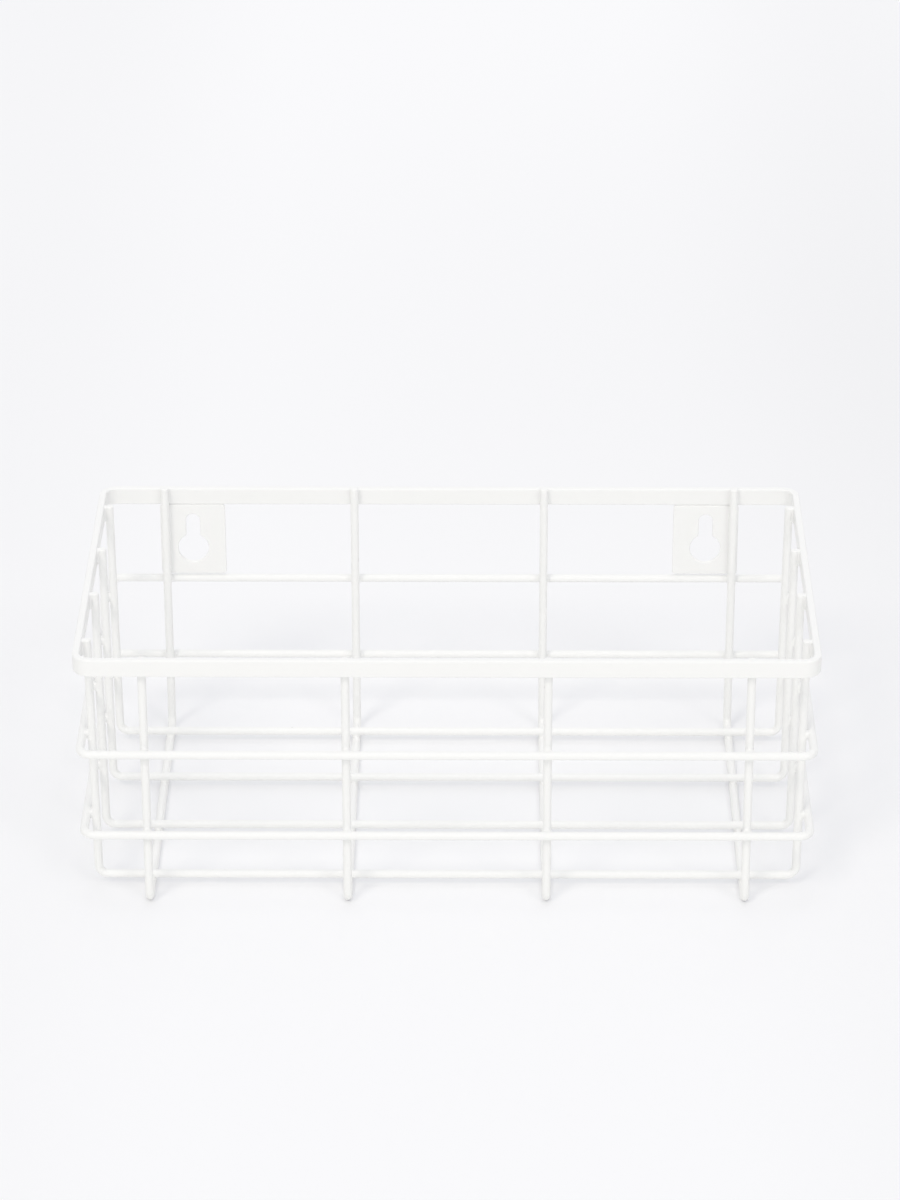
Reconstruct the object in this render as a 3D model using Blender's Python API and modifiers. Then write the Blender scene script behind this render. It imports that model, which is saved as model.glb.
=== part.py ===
"""A wall basket of welded wire.

A flat bar bent into a rounded rectangle makes the rim. Eight U-shaped wires hang inside it and make
the walls and the floor: four run from the front to the wall and carry the basket, and four lie across
them from left to right. Two rings of the same wire go round the outside of the legs, and two keyhole
plates behind the outer legs take the screws. Everything is welded, so nothing moves.

Lengths are in metres, +Z is up and +Y points to the wall. The basket stands on z = 0 and is centred
on the origin.
"""
import math

import bpy
from mathutils import Vector

for old in list(bpy.data.objects):
    bpy.data.objects.remove(old)

# Whole basket
basket_width = 0.300
basket_depth = 0.160
rim_top_height = 0.1155
weld_gap = 0.0003

# Rim, a flat bar on edge
rim_bar_height = 0.0076
rim_bar_thickness = 0.003
rim_corner_radius = 0.0075
rim_edge_radius = 0.0004

# Wire, shared by the rings and both kinds of U
wire_diameter = 0.0035
leg_bend_radius = 0.004
ring_corner_radius = 0.005
bend_steps = 6
wire_bevel_resolution = 4

# U wires that run from the front to the wall
depth_wire_count = 4
depth_wire_inset = 0.0227
back_leg_rise = 0.0014
front_leg_drop = 0.0012

# U wires that run from left to right, on top of the others
long_wire_count = 4
long_wire_inset = 0.0142
side_leg_drop = 0.0002
side_leg_lean = 0.001

# Keyhole plates, and the rings, which follow down from the plates
plate_width = 0.028
plate_height = 0.0329
plate_thickness = 0.0015
plate_corner_radius = 0.0012
plate_edge_radius = 0.0002
plate_overhang = 0.0006
plate_ring_gap = 0.0012
ring_spacing = 0.0374
keyhole_diameter = 0.0132
keyhole_slot_width = 0.006
keyhole_foot = 0.0058
keyhole_head = 0.0043
keyhole_steps = 28

# Points of a flat piece closer than this are one point
same_point = 0.00001

# Where the pieces meet
wire_radius = wire_diameter / 2
leg_x = basket_width / 2 - rim_bar_thickness - weld_gap - wire_radius
leg_y = basket_depth / 2 - rim_bar_thickness - weld_gap - wire_radius
depth_wire_level = wire_radius
long_wire_level = depth_wire_level + wire_diameter + weld_gap
rim_underside = rim_top_height - rim_bar_height
plate_bottom = rim_underside - weld_gap - plate_height
upper_ring_level = plate_bottom - plate_ring_gap - wire_radius
lower_ring_level = upper_ring_level - ring_spacing


def powder_coat(name):
    """White powder coat on steel, satin and slightly warm."""
    material = bpy.data.materials.new(name)
    material.use_nodes = True
    shader = material.node_tree.nodes["Principled BSDF"]
    shader.inputs["Base Color"].default_value = (0.86, 0.86, 0.84, 1)
    shader.inputs["Roughness"].default_value = 0.42
    shader.inputs["Metallic"].default_value = 0
    return material


def arc(centre, radius, start, end, steps):
    """Points on a circle in a plane, from one angle to another."""
    turns = [start + (end - start) * step / steps for step in range(steps + 1)]
    return [(centre[0] + radius * math.cos(a), centre[1] + radius * math.sin(a)) for a in turns]


def bent_corner(before, corner, after, radius):
    """Points of the round bend that takes the place of a corner in a wire."""
    back = (before - corner).normalized()
    ahead = (after - corner).normalized()
    half_opening = back.angle(ahead) / 2
    centre = corner + (back + ahead).normalized() * radius / math.sin(half_opening)
    reach = radius / math.tan(half_opening)
    start = (corner + back * reach - centre).normalized()
    end = (corner + ahead * reach - centre).normalized()
    return [centre + start.slerp(end, step / bend_steps) * radius for step in range(bend_steps + 1)]


def place(name, data, location=(0, 0, 0), rotation=(0, 0, 0)):
    """Adds a named piece to the basket."""
    piece = bpy.data.objects.new(name, data)
    piece.location = location
    piece.rotation_euler = rotation
    piece.parent = basket
    parts.objects.link(piece)
    return piece


def wire_curve(name, points, closed):
    """A round wire that follows the points."""
    curve = bpy.data.curves.new(name, "CURVE")
    curve.dimensions = "3D"
    curve.bevel_depth = wire_radius
    curve.bevel_resolution = wire_bevel_resolution
    curve.use_fill_caps = True
    spline = curve.splines.new("POLY")
    spline.points.add(len(points) - 1)
    for knot, point in zip(spline.points, points):
        knot.co = (*point, 1)
    spline.use_cyclic_u = closed
    spline.use_smooth = True
    curve.materials.append(powder_coat(name + "_coat"))
    return curve


def flat_curve(name, outlines, thickness):
    """A flat piece with the first outline as its edge and the others as its holes."""
    curve = bpy.data.curves.new(name, "CURVE")
    curve.dimensions = "2D"
    curve.fill_mode = "BOTH"
    curve.extrude = thickness / 2
    for outline in outlines:
        spline = curve.splines.new("POLY")
        spline.points.add(len(outline) - 1)
        for knot, (x, y) in zip(spline.points, outline):
            knot.co = (x, y, 0, 1)
        spline.use_cyclic_u = True
    curve.materials.append(powder_coat(name + "_coat"))
    return curve


def round_edges(piece, radius):
    """Breaks the sharp edges of a flat piece, as its coat does."""
    weld = piece.modifiers.new("close the faces", "WELD")
    weld.merge_threshold = same_point
    bevel = piece.modifiers.new("soft edges", "BEVEL")
    bevel.width = radius
    bevel.segments = 2
    bevel.limit_method = "ANGLE"
    bevel.angle_limit = math.radians(60)


def rounded_rectangle(half_width, half_height, radius):
    """A rectangle about the origin with round corners, anticlockwise."""
    x = half_width - radius
    y = half_height - radius
    corners = [(x, y), (-x, y), (-x, -y), (x, -y)]
    quarter = math.pi / 2
    return [
        point
        for number, corner in enumerate(corners)
        for point in arc(corner, radius, number * quarter, (number + 1) * quarter, bend_steps)
    ]


def side_leg_x(height):
    """How far out the side legs stand at a height, since they lean in towards the floor."""
    drop_share = (rim_top_height - height) / (rim_top_height - long_wire_level)
    return leg_x - side_leg_lean * drop_share


def evenly(count, half_span):
    """Places of a row of wires, centred on zero."""
    return [half_span * (2 * number / (count - 1) - 1) for number in range(count)]


def add_rim():
    """The flat bar on edge, round the tops of all the legs."""
    outside_x = basket_width / 2
    outside_y = basket_depth / 2
    outside = rounded_rectangle(outside_x, outside_y, rim_corner_radius)
    inside = rounded_rectangle(
        outside_x - rim_bar_thickness,
        outside_y - rim_bar_thickness,
        rim_corner_radius - rim_bar_thickness,
    )
    curve = flat_curve("rim", [outside, inside], rim_bar_height)
    rim = place("rim", curve, (0, 0, rim_underside + rim_bar_height / 2))
    round_edges(rim, rim_edge_radius)


def add_ring(name, level):
    """A closed ring round the outside of all the legs."""
    leg_to_ring = wire_diameter + weld_gap
    outline = rounded_rectangle(side_leg_x(level) + leg_to_ring, leg_y + leg_to_ring, ring_corner_radius)
    curve = wire_curve(name, [(x, y, 0) for x, y in outline], True)
    place(name, curve, (0, 0, level))


def add_depth_wires():
    """U wires with a leg at the front, a run on the floor and a leg at the wall."""
    front_top = Vector((0, -leg_y, rim_top_height - front_leg_drop))
    front_foot = Vector((0, -leg_y, depth_wire_level))
    back_foot = Vector((0, leg_y, depth_wire_level))
    back_top = Vector((0, leg_y, rim_top_height + back_leg_rise))
    path = [
        front_top,
        *bent_corner(front_top, front_foot, back_foot, leg_bend_radius),
        *bent_corner(front_foot, back_foot, back_top, leg_bend_radius),
        back_top,
    ]
    curve = wire_curve("depth_wire", path, False)
    for number, x in enumerate(depth_wire_places, start=1):
        place(f"depth_wire_{number}", curve, (x, 0, 0))


def add_long_wires():
    """U wires with a leg at each side and a run across the depth wires."""
    top_height = rim_top_height - side_leg_drop
    left_top = Vector((-side_leg_x(top_height), 0, top_height))
    left_foot = Vector((-side_leg_x(long_wire_level), 0, long_wire_level))
    right_foot = Vector((-left_foot.x, 0, left_foot.z))
    right_top = Vector((-left_top.x, 0, left_top.z))
    path = [
        left_top,
        *bent_corner(left_top, left_foot, right_foot, leg_bend_radius),
        *bent_corner(left_foot, right_foot, right_top, leg_bend_radius),
        right_top,
    ]
    curve = wire_curve("long_wire", path, False)
    for number, y in enumerate(evenly(long_wire_count, leg_y - long_wire_inset), start=1):
        place(f"long_wire_{number}", curve, (0, y, 0))


def keyhole():
    """A round hole with a narrower slot above it, between the metal at the foot and at the head."""
    hole_radius = keyhole_diameter / 2
    slot_radius = keyhole_slot_width / 2
    hole_centre = (0, keyhole_foot + hole_radius - plate_height / 2)
    slot_centre = (0, plate_height / 2 - keyhole_head - slot_radius)
    mouth = math.asin(slot_radius / hole_radius)
    up = math.pi / 2
    hole = arc(hole_centre, hole_radius, up + mouth, up - mouth + 2 * math.pi, keyhole_steps)
    slot_end = arc(slot_centre, slot_radius, 0, math.pi, keyhole_steps // 2)
    return hole + slot_end


def add_plates():
    """The plates stand behind the outer legs, under the rim."""
    outline = rounded_rectangle(plate_width / 2, plate_height / 2, plate_corner_radius)
    curve = flat_curve("keyhole_plate", [outline, keyhole()], plate_thickness)
    plate_x = depth_wire_places[-1] + wire_radius + plate_overhang - plate_width / 2
    plate_y = leg_y + wire_radius + weld_gap + plate_thickness / 2
    plate_z = plate_bottom + plate_height / 2
    for side, name in ((-1, "keyhole_plate_left"), (1, "keyhole_plate_right")):
        plate = place(name, curve, (side * plate_x, plate_y, plate_z), (math.pi / 2, 0, 0))
        round_edges(plate, plate_edge_radius)


parts = bpy.data.collections.new("wall_basket")
bpy.context.scene.collection.children.link(parts)
basket = bpy.data.objects.new("basket", None)
parts.objects.link(basket)

depth_wire_places = evenly(depth_wire_count, leg_x - depth_wire_inset)

add_rim()
add_ring("ring_upper", upper_ring_level)
add_ring("ring_lower", lower_ring_level)
add_depth_wires()
add_long_wires()
add_plates()
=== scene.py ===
"""The looks of the wall basket: white powder-coated wire, welded at every crossing.

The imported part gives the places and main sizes. Lengths are in metres, +Z is up, the wall is at +Y.
"""
import math
import random

import bmesh
import bpy
from mathutils import Matrix, Vector, noise


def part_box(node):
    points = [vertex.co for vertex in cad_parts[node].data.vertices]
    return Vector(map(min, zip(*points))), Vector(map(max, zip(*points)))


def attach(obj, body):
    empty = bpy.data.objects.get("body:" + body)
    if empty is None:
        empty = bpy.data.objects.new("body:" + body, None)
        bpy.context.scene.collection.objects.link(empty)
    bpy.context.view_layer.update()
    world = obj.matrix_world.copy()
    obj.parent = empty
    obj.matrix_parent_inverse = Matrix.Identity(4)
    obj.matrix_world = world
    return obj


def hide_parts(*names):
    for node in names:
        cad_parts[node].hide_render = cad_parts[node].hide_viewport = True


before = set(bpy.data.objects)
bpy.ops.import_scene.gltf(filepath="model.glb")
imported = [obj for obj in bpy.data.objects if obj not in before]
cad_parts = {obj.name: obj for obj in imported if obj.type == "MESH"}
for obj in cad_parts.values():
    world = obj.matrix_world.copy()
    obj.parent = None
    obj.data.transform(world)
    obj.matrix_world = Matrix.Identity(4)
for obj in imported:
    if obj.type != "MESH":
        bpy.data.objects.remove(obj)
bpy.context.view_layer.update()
scene = bpy.context.scene
scene.view_settings.view_transform = "Standard"
right, back, up = Vector((1, 0, 0)), Vector((0, 1, 0)), Vector((0, 0, 1))


# Depth wires
# Four U-shaped wires run from the front to the wall and carry the basket. They are 3.5 mm steel wire,
# cut and bent cold, and the powder coat rounds their cut ends. The white coat of the basket starts here.
coat_warm_white = (0.926, 0.925, 0.92, 1)
coat_thin_white = (0.912, 0.913, 0.911, 1)
coat_patch_size = 0.011
coat_patch_detail = 3
coat_peel_size = 0.0011
coat_peel_detail = 2
coat_peel_height = 0.000007
coat_grain_size = 0.00028
coat_grain_detail = 1
coat_grain_share = 0.25
coat_roughness = 0.3
coat_roughness_swing = 0.1

wire_sides = 36
run_step = 0.006
bend_steps = 12
leg_bend_radius = 0.004
cut_edge_radius = 0.0007
cut_crown = 0.00015
cut_steps = 5
sharp_angle = math.radians(45)
front_leg_drop = 0.0012


class Shade:
    """A socket in a tree of shader nodes. Sums written with it add Math nodes to the tree."""

    def __init__(self, tree, socket=None):
        self.tree = tree
        self.socket = socket

    def node(self, kind, settings=None, inputs=None, output=0):
        """Adds a node, sets it up, feeds its sockets and gives one of its outputs."""
        made = self.tree.nodes.new("ShaderNode" + kind)
        for name, value in (settings or {}).items():
            setattr(made, name, value)
        for name, value in (inputs or {}).items():
            if isinstance(value, Shade):
                self.tree.links.new(value.socket, made.inputs[name])
            else:
                made.inputs[name].default_value = value
        return Shade(self.tree, made.outputs[output] if made.outputs else None)

    def maths(self, operation, first, second):
        return self.node("Math", {"operation": operation}, {0: first, 1: second})

    def __add__(self, other):
        return self.maths("ADD", self, other)

    def __mul__(self, other):
        return self.maths("MULTIPLY", self, other)

    def __sub__(self, other):
        return self.maths("SUBTRACT", self, other)

    def __rsub__(self, other):
        return self.maths("SUBTRACT", other, self)

    __radd__ = __add__
    __rmul__ = __mul__


def powder_coat():
    """White powder coat: satin, faintly uneven in tone, with the fine orange peel of a baked coat."""
    material = bpy.data.materials.new("white_powder_coat")
    material.use_nodes = True
    material.node_tree.nodes.clear()
    start = Shade(material.node_tree)
    place = start.node("TexCoord", output="Object")

    def speckle(size, detail):
        return start.node("TexNoise", inputs={"Vector": place, "Scale": 1 / size, "Detail": detail})

    patches = speckle(coat_patch_size, coat_patch_detail)
    peel = speckle(coat_peel_size, coat_peel_detail)
    grain = speckle(coat_grain_size, coat_grain_detail)
    colour = start.node(
        "Mix",
        {"data_type": "RGBA"},
        {"Factor": patches, "A": coat_warm_white, "B": coat_thin_white},
        "Result",
    )
    relief = peel + grain * coat_grain_share
    bump = start.node("Bump", inputs={"Strength": 1, "Distance": coat_peel_height, "Height": relief})
    shader = start.node(
        "BsdfPrincipled",
        inputs={
            "Base Color": colour,
            "Roughness": coat_roughness + (patches - 0.5) * coat_roughness_swing,
            "Normal": bump,
        },
    )
    start.node("OutputMaterial", inputs={"Surface": shader})
    return material


coat = powder_coat()


def coated(name, mesh, *nodes):
    """Finishes a piece of the basket: coats it, lets it ride and stand for its nodes."""
    bmesh.ops.recalc_face_normals(mesh, faces=mesh.faces)
    data = bpy.data.meshes.new(name)
    mesh.to_mesh(data)
    mesh.free()
    data.shade_smooth()
    data.set_sharp_from_angle(angle=sharp_angle)
    data.materials.append(coat)
    piece = bpy.data.objects.new(name, data)
    scene.collection.objects.link(piece)
    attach(piece, "root")
    if nodes:
        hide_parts(*nodes)
    return piece


def run(start, end):
    """Points along a straight stretch, without its end."""
    steps = max(1, round((end - start).length / run_step))
    return [start.lerp(end, step / steps) for step in range(steps)]


def bend(before, corner, after, radius):
    """Points of the round bend at a corner."""
    back_way = (before - corner).normalized()
    ahead_way = (after - corner).normalized()
    half_opening = back_way.angle(ahead_way) / 2
    centre = corner + (back_way + ahead_way).normalized() * radius / math.sin(half_opening)
    reach = radius / math.tan(half_opening)
    first = (corner + back_way * reach - centre).normalized()
    last = (corner + ahead_way * reach - centre).normalized()
    return [centre + first.slerp(last, step / bend_steps) * radius for step in range(bend_steps + 1)]


def u_line(corners):
    """The centre line of a U wire through its two ends and its two feet."""
    start, first_foot, second_foot, end = corners
    first_bend = bend(start, first_foot, second_foot, leg_bend_radius)
    second_bend = bend(first_foot, second_foot, end, leg_bend_radius)
    return [
        *run(start, first_bend[0]),
        *first_bend[:-1],
        *run(first_bend[-1], second_bend[0]),
        *second_bend[:-1],
        *run(second_bend[-1], end),
        end,
    ]


def join_rings(mesh, ring, next_ring):
    """Joins two rings of corners with a band of faces."""
    for number in range(len(ring)):
        mesh.faces.new((ring[number - 1], ring[number], next_ring[number], next_ring[number - 1]))


def cut_end(mesh, last_ring, tip, outward):
    """Closes a cut wire end with the round edge and the slight crown that the coat leaves."""
    ring = last_ring
    shoulder = tip - outward * cut_edge_radius
    for step in range(1, cut_steps + 1):
        turn = step / cut_steps * math.pi / 2
        centre = shoulder + outward * (cut_edge_radius - cut_crown) * math.sin(turn)
        radius = wire_radius - cut_edge_radius * (1 - math.cos(turn))
        smaller = [
            mesh.verts.new(centre + (vert.co - shoulder).normalized() * radius) for vert in last_ring
        ]
        join_rings(mesh, ring, smaller)
        ring = smaller
    crown = mesh.verts.new(tip)
    for number, vert in enumerate(ring):
        mesh.faces.new((vert, ring[number - 1], crown))


def wire_mesh(line, flat_way, closed=False):
    """A round wire along a line that lies in the plane square to flat_way."""
    mesh = bmesh.new()
    line = list(line)
    first_way = (line[0] - line[1]).normalized()
    last_way = (line[-1] - line[-2]).normalized()
    tips = line[0], line[-1]
    if not closed:
        line[0] = tips[0] - first_way * cut_edge_radius
        line[-1] = tips[1] - last_way * cut_edge_radius
    count = len(line)
    turns = [2 * math.pi * side / wire_sides for side in range(wire_sides)]
    rings = []
    for number, point in enumerate(line):
        before = line[number - 1] if closed or number else point
        after = line[(number + 1) % count] if closed or number < count - 1 else point
        side_way = flat_way.cross((after - before).normalized())
        ways = [math.cos(turn) * side_way + math.sin(turn) * flat_way for turn in turns]
        rings.append([mesh.verts.new(point + wire_radius * way) for way in ways])
    for number in range(0 if closed else 1, count):
        join_rings(mesh, rings[number - 1], rings[number])
    if not closed:
        cut_end(mesh, rings[0], tips[0], first_way)
        cut_end(mesh, rings[-1], tips[1], last_way)
    return mesh


rim_low, rim_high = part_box("rim")
wire_low, wire_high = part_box("depth_wire_1")
wire_radius = (wire_high.x - wire_low.x) / 2
depth_wire_count = sum(name.startswith("depth_wire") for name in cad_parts)
depth_wire_places = []
for number in range(1, depth_wire_count + 1):
    node = f"depth_wire_{number}"
    low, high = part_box(node)
    wire_x = (low.x + high.x) / 2
    depth_wire_places.append(wire_x)
    front_y, back_y = low.y + wire_radius, high.y - wire_radius
    depth_wire_level = low.z + wire_radius
    corners = (
        Vector((wire_x, front_y, rim_high.z - front_leg_drop)),
        Vector((wire_x, front_y, depth_wire_level)),
        Vector((wire_x, back_y, depth_wire_level)),
        Vector((wire_x, back_y, high.z)),
    )
    coated(node + "_coated", wire_mesh(u_line(corners), right), node)


# Long wires
# Four more U wires of the same stock lie across the depth wires from side to side. Their legs lean in by
# a millimetre towards the floor, and end just below the top of the rim.
side_leg_lean = 0.001

long_wire_count = sum(name.startswith("long_wire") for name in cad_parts)
long_wire_places = []
for number in range(1, long_wire_count + 1):
    node = f"long_wire_{number}"
    low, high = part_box(node)
    wire_y = (low.y + high.y) / 2
    long_wire_places.append(wire_y)
    long_wire_level = low.z + wire_radius
    leg_top_x = high.x - wire_radius
    leg_foot_x = leg_top_x - side_leg_lean
    side_leg_top = high.z
    corners = (
        Vector((-leg_top_x, wire_y, side_leg_top)),
        Vector((-leg_foot_x, wire_y, long_wire_level)),
        Vector((leg_foot_x, wire_y, long_wire_level)),
        Vector((leg_top_x, wire_y, side_leg_top)),
    )
    coated(node + "_coated", wire_mesh(u_line(corners), back), node)


# Rings
# Two closed rings of the same wire go round the outside of all the legs. Each is bent from one length
# and butt-welded, and the coat hides the joint.
ring_corner_radius = 0.005


def round_loop(half_x, half_y, level, radius):
    """A closed rectangle with round corners, level with the floor."""
    signs = [(1, -1), (1, 1), (-1, 1), (-1, -1)]
    corners = [Vector((half_x * x, half_y * y, level)) for x, y in signs]
    bends = [
        bend(corners[number - 1], corners[number], corners[(number + 1) % 4], radius)
        for number in range(4)
    ]
    line = []
    for number in range(4):
        line += bends[number][:-1]
        line += run(bends[number][-1], bends[(number + 1) % 4][0])
    return line


ring_levels = {}
for node in ("ring_upper", "ring_lower"):
    low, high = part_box(node)
    level = (low.z + high.z) / 2
    ring_levels[node] = level
    ring_line = round_loop(high.x - wire_radius, high.y - wire_radius, level, ring_corner_radius)
    coated(node + "_coated", wire_mesh(ring_line, up, closed=True), node)


# Rim
# A flat bar, 3 mm thick, stands on edge round the tops of all the legs. It is bent to a rounded
# rectangle, and the coat softens its edges.
rim_bar_thickness = 0.003
rim_corner_radius = 0.0075
rim_edge_radius = 0.0007
edge_steps = 4
corner_signs = [(1, 1), (-1, 1), (-1, -1), (1, -1)]
flat_face_weight = 100


def rounded_section(half_width, half_height, radius):
    """The outline of a bar with soft edges, as places across and up."""
    points = []
    for number, (x, y) in enumerate(corner_signs):
        for step in range(edge_steps + 1):
            turn = (number + step / edge_steps) * math.pi / 2
            across = x * (half_width - radius) + radius * math.cos(turn)
            points.append((across, y * (half_height - radius) + radius * math.sin(turn)))
    return points


def bar_mesh(line, section):
    """A flat bar whose section is carried round a closed level line."""
    mesh = bmesh.new()
    count = len(line)
    rings = []
    for number, point in enumerate(line):
        ahead = (line[(number + 1) % count] - line[number - 1]).normalized()
        outward = ahead.cross(up)
        rings.append([mesh.verts.new(point + outward * across + up * rise) for across, rise in section])
    for number in range(count):
        join_rings(mesh, rings[number - 1], rings[number])
    return mesh


def even_faces(piece):
    """Keeps the flat faces of a piece flat in the light, and only its edges round."""
    weighted = piece.modifiers.new("flat faces stay flat", "WEIGHTED_NORMAL")
    weighted.mode = "FACE_AREA"
    weighted.weight = flat_face_weight
    weighted.keep_sharp = False


half_bar = rim_bar_thickness / 2
rim_level = (rim_low.z + rim_high.z) / 2
rim_bend_radius = rim_corner_radius - half_bar
rim_line = round_loop(rim_high.x - half_bar, rim_high.y - half_bar, rim_level, rim_bend_radius)
rim_section = rounded_section(half_bar, (rim_high.z - rim_low.z) / 2, rim_edge_radius)
even_faces(coated("rim_coated", bar_mesh(rim_line, rim_section), "rim"))


# Keyhole plates
# Two stamped steel plates stand behind the outer legs under the rim. A screw head goes in at the round
# hole, and the basket drops until the slot sits on the shank.
plate_corner_radius = 0.0012
plate_edge_radius = 0.00045
keyhole_diameter = 0.0132
keyhole_slot_width = 0.006
keyhole_foot = 0.0058
keyhole_head = 0.0043
keyhole_steps = 64
same_point = 0.00001


def arc(centre_x, centre_y, radius, start, end, steps):
    """Points on a circle, from one angle to another."""
    turns = [start + (end - start) * step / steps for step in range(steps + 1)]
    return [(centre_x + radius * math.cos(turn), centre_y + radius * math.sin(turn)) for turn in turns]


def plate_outlines(width, height):
    """The plate's edge and its keyhole, about the middle of the plate."""
    edge_x, edge_y = width / 2 - plate_corner_radius, height / 2 - plate_corner_radius
    quarter = math.pi / 2
    edge = []
    for number, (x, y) in enumerate(corner_signs):
        start = number * quarter
        edge += arc(x * edge_x, y * edge_y, plate_corner_radius, start, start + quarter, bend_steps)
    hole_radius, slot_radius = keyhole_diameter / 2, keyhole_slot_width / 2
    hole_y = keyhole_foot + hole_radius - height / 2
    slot_y = height / 2 - keyhole_head - slot_radius
    mouth = math.asin(slot_radius / hole_radius)
    keyhole = arc(0, hole_y, hole_radius, quarter + mouth, quarter - mouth + 4 * quarter, keyhole_steps)
    keyhole += arc(0, slot_y, slot_radius, 0, math.pi, keyhole_steps // 2)
    return edge, keyhole


def plate_mesh(low, high):
    """A flat plate with its keyhole, and the edges rounded by the stamping and the coat."""
    curve = bpy.data.curves.new("plate_outline", "CURVE")
    curve.dimensions = "2D"
    curve.fill_mode = "BOTH"
    curve.extrude = (high.y - low.y) / 2 - plate_edge_radius
    curve.bevel_depth = plate_edge_radius
    curve.bevel_resolution = edge_steps - 1
    curve.offset = -plate_edge_radius
    for outline in plate_outlines(high.x - low.x, high.z - low.z):
        spline = curve.splines.new("POLY")
        spline.points.add(len(outline) - 1)
        for knot, (x, y) in zip(spline.points, outline):
            knot.co = (x, y, 0, 1)
        spline.use_cyclic_u = True
    guide = bpy.data.objects.new("plate_outline", curve)
    scene.collection.objects.link(guide)
    solid = guide.evaluated_get(bpy.context.evaluated_depsgraph_get()).to_mesh()
    mesh = bmesh.new()
    mesh.from_mesh(solid)
    bpy.data.objects.remove(guide)
    bmesh.ops.remove_doubles(mesh, verts=mesh.verts, dist=same_point)
    stand = Matrix.Translation((low + high) / 2) @ Matrix.Rotation(math.pi / 2, 4, "X")
    bmesh.ops.transform(mesh, matrix=stand, verts=mesh.verts)
    return mesh


for node in ("keyhole_plate_left", "keyhole_plate_right"):
    even_faces(coated(node + "_coated", plate_mesh(*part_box(node)), node))


# Welds on the floor
# Each long wire is resistance-welded to each depth wire under it. The joint has a small fillet of weld
# metal and pooled coat all round, a little different at every crossing.
floor_fillets = (0.0007, 0.001)
weld_lump_height = 0.00012
weld_lump_size = 0.0012
weld_directions = 48
weld_profile_steps = 8
weld_seed = 5
weld_chance = random.Random(weld_seed)


def crossing_weld(mesh, centre, first_way, second_way, spacing, fillets):
    """Fills the corner between two wires that cross square, as a ball rolled round the crossing would.

    The first wire's axis lies half the spacing below the centre, and the second's as far above it,
    where up is the cross product of the two ways. The ball's radius is between the two fillets, and its
    middle is equally far from both axes, which is a quadratic equation for its squared distance out.
    """
    fillet = weld_chance.uniform(*fillets)
    reach = wire_radius + fillet
    over_way = first_way.cross(second_way)
    basis = Matrix((first_way, second_way, over_way)).transposed()
    columns = []
    for number in range(weld_directions):
        turn = 2 * math.pi * number / weld_directions
        bow = math.cos(2 * turn) ** 2 / (2 * spacing ** 2)
        lack = spacing ** 2 / 2 - 2 * reach ** 2
        out_squared = -2 * lack / (1 + math.sqrt(1 - 4 * bow * lack))
        out = math.sqrt(out_squared)
        x, y = out * math.cos(turn), out * math.sin(turn)
        height = out_squared * math.cos(2 * turn) / (2 * spacing)
        ball = Vector((x, y, height))
        share = wire_radius / reach
        low_foot = Vector((x, y * share, (height + spacing / 2) * share - spacing / 2))
        high_foot = Vector((x * share, y, (height - spacing / 2) * share + spacing / 2))
        low_way, high_way = (low_foot - ball).normalized(), (high_foot - ball).normalized()
        column = []
        for step in range(weld_profile_steps + 1):
            along = step / weld_profile_steps
            way = low_way.slerp(high_way, along)
            point = centre + basis @ (ball + way * fillet)
            lump = noise.noise(point / weld_lump_size) * weld_lump_height * math.sin(math.pi * along)
            column.append(mesh.verts.new(point - basis @ way * lump))
        columns.append(column)
    close_weld(mesh, columns, centre - over_way * spacing / 2, centre + over_way * spacing / 2)


def close_weld(mesh, columns, low_core, high_core):
    """Joins the columns of a weld and closes it inside the wires."""
    low, high = mesh.verts.new(low_core), mesh.verts.new(high_core)
    for number, column in enumerate(columns):
        before = columns[number - 1]
        for step in range(len(column) - 1):
            mesh.faces.new((before[step], column[step], column[step + 1], before[step + 1]))
        mesh.faces.new((column[0], before[0], low))
        mesh.faces.new((before[-1], column[-1], high))


floor_spacing = long_wire_level - depth_wire_level
weld_level = (long_wire_level + depth_wire_level) / 2
floor_welds = bmesh.new()
for wire_x in depth_wire_places:
    for wire_y in long_wire_places:
        centre = Vector((wire_x, wire_y, weld_level))
        crossing_weld(floor_welds, centre, back, -right, floor_spacing, floor_fillets)
coated("floor_welds", floor_welds)


# Welds on the rings
# Both rings are welded to the outside of every leg in the same way. They are pressed on harder than the
# wires of the floor, so each crossing has a fuller fillet, in which the coat has pooled.
ring_fillets = (0.0012, 0.0016)


def side_leg_x(height):
    """How far out the middle of a side leg stands at a height."""
    drop_share = (side_leg_top - height) / (side_leg_top - long_wire_level)
    return leg_top_x - side_leg_lean * drop_share


for node, level in ring_levels.items():
    low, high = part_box(node)
    ring_x, ring_y = high.x - wire_radius, high.y - wire_radius
    ring_welds = bmesh.new()
    for wire_x in depth_wire_places:
        for side, leg_y in ((-1, front_y), (1, back_y)):
            outer_y = side * ring_y
            centre = Vector((wire_x, (leg_y + outer_y) / 2, level))
            crossing_weld(ring_welds, centre, up, side * right, abs(outer_y - leg_y), ring_fillets)
    for wire_y in long_wire_places:
        for side in (-1, 1):
            leg_x = side_leg_x(level)
            centre = Vector((side * (leg_x + ring_x) / 2, wire_y, level))
            crossing_weld(ring_welds, centre, up, -side * back, ring_x - leg_x, ring_fillets)
    coated(node + "_welds", ring_welds)


# Welds on the rim and the plates
# Every leg is welded along the inner face of the rim, and the outer back legs to their plates. A seam
# fills both corners beside the wire, and a bead of weld and coat the groove between a plate and the rim.
seam_fillet = 0.00065
seam_sink = 0.0003
seam_end = 0.0005
seam_end_share = 0.3
seam_steps = 6
rim_seam_margin = 0.0003
plate_seam_margin = 0.0006
bead_recess = 0.0005
bead_sink = 0.0002
bead_edge_radius = 0.0002


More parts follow.
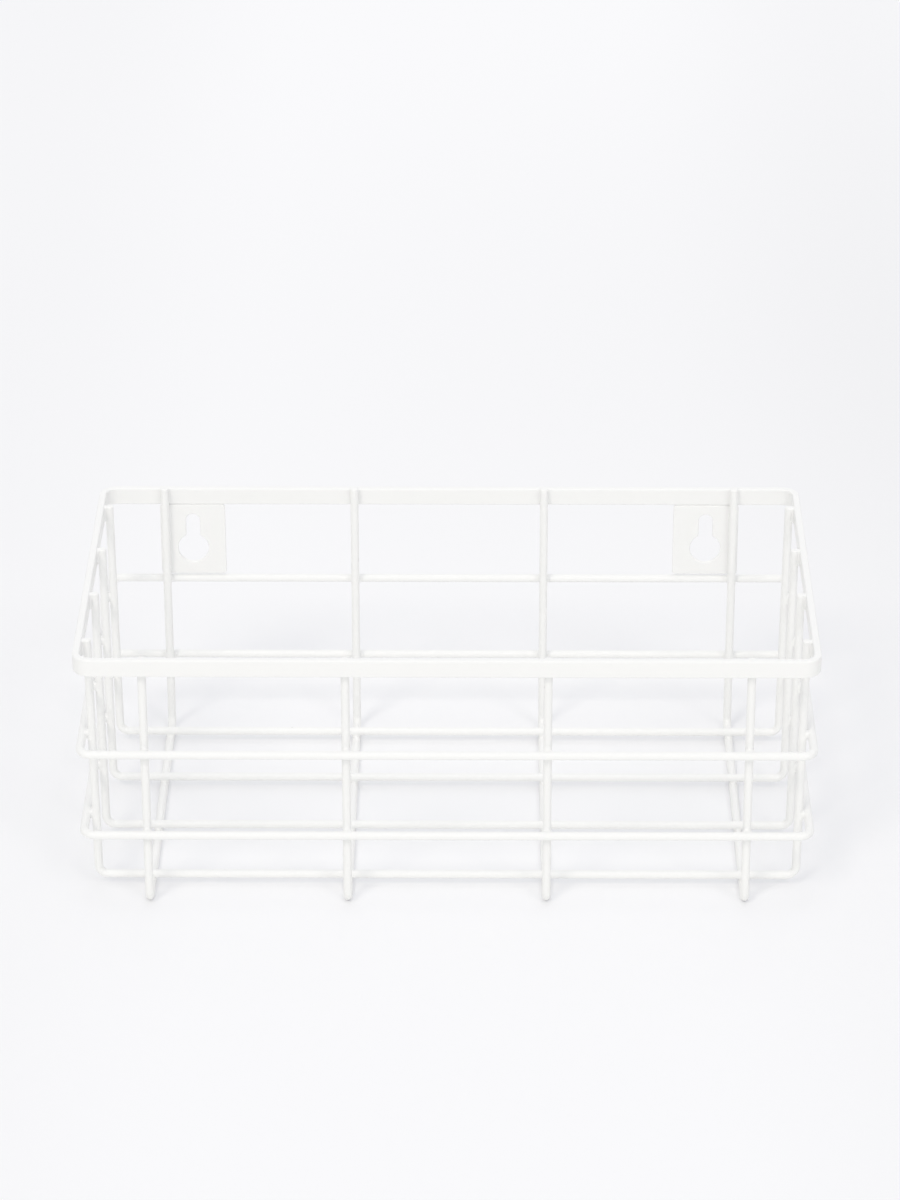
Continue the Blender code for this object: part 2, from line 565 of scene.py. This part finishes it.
def seam_weld(mesh, foot, head, out_way, gap):
    """A straight seam between an upright wire and a flat face beside it, narrower at both ends.

    Its two sides are hollow, as a ball would leave them that rolls along the wire and the face.
    """
    side_way = (head - foot).normalized().cross(out_way)
    face_out = wire_radius + gap
    ball_out = face_out - seam_fillet
    ball_side = math.sqrt((wire_radius + seam_fillet) ** 2 - ball_out ** 2)
    wire_way = Vector((-ball_side, -ball_out)).normalized()
    half = [(ball_side, face_out + seam_sink)]
    for step in range(seam_steps + 1):
        way = Vector((0, 1)).slerp(wire_way, step / seam_steps)
        half.append((ball_side + seam_fillet * way.x, ball_out + seam_fillet * way.y))
    outline = half + [(0, 0)] + [(-side, out) for side, out in reversed(half)]
    length = (head - foot).length
    places = [seam_end * (1 - math.cos(math.pi / 2 * step / seam_steps)) for step in range(seam_steps + 1)]
    places += [length - place for place in reversed(places)]
    rings = []
    for place in places:
        ease = min(place, length - place, seam_end) / seam_end
        width = seam_end_share + (1 - seam_end_share) * math.sqrt(1 - (1 - ease) ** 2)
        centre = foot.lerp(head, place / length)
        rings.append(
            [mesh.verts.new(centre + side_way * side * width + out_way * out) for side, out in outline]
        )
    for number in range(1, len(rings)):
        join_rings(mesh, rings[number - 1], rings[number])
    mesh.faces.new(rings[0])
    mesh.faces.new(rings[-1])


rim_welds = bmesh.new()
seam_foot_z = rim_low.z + rim_seam_margin
rim_gap = rim_high.y - rim_bar_thickness - back_y - wire_radius
for wire_x in depth_wire_places:
    for out_way, leg_y, top in (
        (-back, front_y, rim_high.z - front_leg_drop),
        (back, back_y, rim_high.z),
    ):
        foot = Vector((wire_x, leg_y, seam_foot_z))
        seam_weld(rim_welds, foot, Vector((wire_x, leg_y, top - rim_seam_margin)), out_way, rim_gap)
for wire_y in long_wire_places:
    for side in (-1, 1):
        foot = Vector((side * side_leg_x(seam_foot_z), wire_y, seam_foot_z))
        head_z = side_leg_top - rim_seam_margin
        head = Vector((side * side_leg_x(head_z), wire_y, head_z))
        seam_weld(rim_welds, foot, head, side * right, rim_gap)
coated("rim_welds", rim_welds)

plate_welds = bmesh.new()
for side, wire_x in (("left", depth_wire_places[0]), ("right", depth_wire_places[-1])):
    low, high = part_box("keyhole_plate_" + side)
    foot = Vector((wire_x, back_y, low.z + plate_seam_margin))
    head = Vector((wire_x, back_y, high.z - plate_seam_margin))
    seam_weld(plate_welds, foot, head, back, low.y - back_y - wire_radius)
    groove = rim_low.z - high.z
    bead_middle = Vector((0, (low.y + high.y) / 2, high.z + groove / 2))
    bead = rounded_section((high.y - low.y) / 2 - bead_recess, groove / 2 + bead_sink, bead_edge_radius)
    ends = []
    for x in (low.x + plate_corner_radius, high.x - plate_corner_radius):
        end_middle = bead_middle + right * x
        ends.append([plate_welds.verts.new(end_middle + back * across + up * rise) for across, rise in bead])
    join_rings(plate_welds, *ends)
    for end in ends:
        plate_welds.faces.new(end)
coated("plate_welds", plate_welds)


# Light
# A bright room, dimmer at both sides, with a soft lamp on the left in front, a weaker one on the right and
# one overhead. A lamp's level is what it alone adds to a white floor, and the room adds its own. Turns go
# from the front to the right, heights up from the floor, and widths across the lamp, all in degrees.
room_level = 0.845
room_side_dusk = 0.7
room_colour = (0.98, 0.987, 1)
seen_room = (0.956, 0.956, 0.973, 1)
lamps = [
    {"name": "lamp_left", "turn": -30, "height": 47, "level": 0.115, "width": 15, "colour": (1, 0.95, 0.84)},
    {"name": "lamp_right", "turn": 34, "height": 45, "level": 0.055, "width": 15, "colour": (1, 0.98, 0.95)},
    {"name": "lamp_overhead", "turn": 0, "height": 89, "level": 0.03, "width": 10, "colour": (1, 1, 1)},
]


def seen_rays(start):
    """One for the rays that show a surface or its reflection, and zero for those that light others."""
    kinds = ("Is Camera Ray", "Is Glossy Ray", "Is Transmission Ray")
    camera_ray, glossy_ray, through_ray = (start.node("LightPath", output=kind) for kind in kinds)
    return start.maths("MAXIMUM", start.maths("MAXIMUM", camera_ray, glossy_ray), through_ray)


def studio_room():
    """The room's light fades with the square of how far sideways it comes from.

    That square is a quarter in the mean of the floor's light, so the floor gets the room's level.
    """
    world = bpy.data.worlds.new("studio_room")
    world.use_nodes = True
    world.node_tree.nodes.clear()
    start = Shade(world.node_tree)
    way = start.node("TexCoord", output="Generated")
    sideways = start.node("SeparateXYZ", inputs={0: way})
    middle_level = room_level / (1 - room_side_dusk / 4)
    strength = middle_level * (1 - room_side_dusk * sideways * sideways)
    light = start.node("Background", inputs={"Color": (*room_colour, 1), "Strength": strength})
    seen = start.node("Background", inputs={"Color": seen_room, "Strength": 1})
    shader = start.node("MixShader", inputs={0: seen_rays(start), 1: light, 2: seen})
    start.node("OutputWorld", inputs={"Surface": shader})
    return world


scene.world = studio_room()
for lamp in lamps:
    turn, height = math.radians(lamp["turn"]), math.radians(lamp["height"])
    from_way = (right * math.sin(turn) - back * math.cos(turn)) * math.cos(height) + up * math.sin(height)
    data = bpy.data.lights.new(lamp["name"], "SUN")
    data.energy = lamp["level"] * math.pi / math.sin(height)
    data.angle = math.radians(lamp["width"])
    data.color = lamp["colour"]
    holder = bpy.data.objects.new(lamp["name"], data)
    holder.rotation_euler = (-from_way).to_track_quat("-Z", "Y").to_euler()
    scene.collection.objects.link(holder)


# Floor
# A pale studio floor with no edge in view. What the camera sees of it is lifted towards white, and it
# keeps a share of the basket's soft shadow. A painted shade makes it darker at both sides and behind on the
# right.
floor_half_width = 9
floor_white = (0.93, 0.93, 0.915, 1)
seen_shadow_share = 0.82
painted_shade_place = (0.24, 0.46, 0)
painted_shade_radius = 0.6
painted_shade_depth = 0.036
side_painted_shade_start = 0.09
side_painted_shade_end = 0.24
side_painted_shade_depth = 0.034


def studio_floor():
    """A matt white floor for the light, and for the camera the same shadow on a floor lifted to the room."""
    material = bpy.data.materials.new("studio_floor")
    material.use_nodes = True
    material.node_tree.nodes.clear()
    start = Shade(material.node_tree)
    plain = start.node("BsdfDiffuse", inputs={"Color": floor_white})
    shadow = start.node("BsdfDiffuse", inputs={"Color": (*[seen_shadow_share] * 3, 1)})
    open_light = [
        room_level * room_colour[part] + sum(lamp["level"] * lamp["colour"][part] for lamp in lamps)
        for part in range(3)
    ]
    lift = [seen - seen_shadow_share * light for seen, light in zip(seen_room, open_light)]

    def painted_shade_between(distance, first, last, depth):
        """How much painted shade darkens the floor between two distances."""
        return start.node(
            "MapRange",
            {"interpolation_type": "SMOOTHSTEP"},
            {"Value": distance, "From Min": first, "From Max": last, "To Max": depth},
        )

    # Painted shade: the floor's colour for the camera is darkened round a place behind the basket on the
    # right and towards both sides.
    place = start.node("TexCoord", output="Object")
    away = start.node("VectorMath", {"operation": "DISTANCE"}, {0: place, 1: painted_shade_place}, "Value")
    aside = start.maths("ABSOLUTE", start.node("SeparateXYZ", inputs={0: place}), 0)
    painted_shade_behind = painted_shade_between(away, painted_shade_radius, 0, painted_shade_depth)
    painted_shade = painted_shade_behind + painted_shade_between(aside, side_painted_shade_start, side_painted_shade_end, side_painted_shade_depth)
    grey_painted_shade = start.node("CombineColor", inputs=dict.fromkeys(range(3), painted_shade))
    colour = start.node(
        "Mix",
        {"data_type": "RGBA", "blend_type": "SUBTRACT"},
        {"Factor": 1, "A": (*lift, 1), "B": grey_painted_shade},
        "Result",
    )
    glow = start.node("Emission", inputs={"Color": colour, "Strength": 1})
    seen = start.node("AddShader", inputs={0: shadow, 1: glow})
    shader = start.node("MixShader", inputs={0: seen_rays(start), 1: plain, 2: seen})
    start.node("OutputMaterial", inputs={"Surface": shader})
    return material


floor_mesh = bmesh.new()
bmesh.ops.create_grid(floor_mesh, x_segments=1, y_segments=1, size=floor_half_width)
floor_data = bpy.data.meshes.new("floor")
floor_mesh.to_mesh(floor_data)
floor_mesh.free()
floor_data.materials.append(studio_floor())
floor = bpy.data.objects.new("floor", floor_data)
scene.collection.objects.link(floor)


# Camera
# The photograph was taken from in front and above, almost straight on, through a long lens. The camera's
# place, turn and lens come from the edges and crossings of the basket in the photograph.
camera_place = (0.0132, -1.6505, 0.9555)
camera_pitch = math.radians(27.352)
camera_yaw = math.radians(-0.429)
camera_roll = math.radians(-0.091)
camera_lens = 134.08
camera_reach = 50

look = Vector((
    math.sin(camera_yaw) * math.cos(camera_pitch),
    math.cos(camera_yaw) * math.cos(camera_pitch),
    -math.sin(camera_pitch),
))
level_side = look.cross(up).normalized()
level_top = level_side.cross(look)
camera_side = level_side * math.cos(camera_roll) + level_top * math.sin(camera_roll)
camera_top = level_top * math.cos(camera_roll) - level_side * math.sin(camera_roll)
camera_data = bpy.data.cameras.new("camera")
camera_data.lens = camera_lens
camera_data.clip_end = camera_reach
camera = bpy.data.objects.new("camera", camera_data)
turned = Matrix((camera_side, camera_top, -look)).transposed()
camera.matrix_world = Matrix.Translation(camera_place) @ turned.to_4x4()
scene.collection.objects.link(camera)
scene.camera = camera
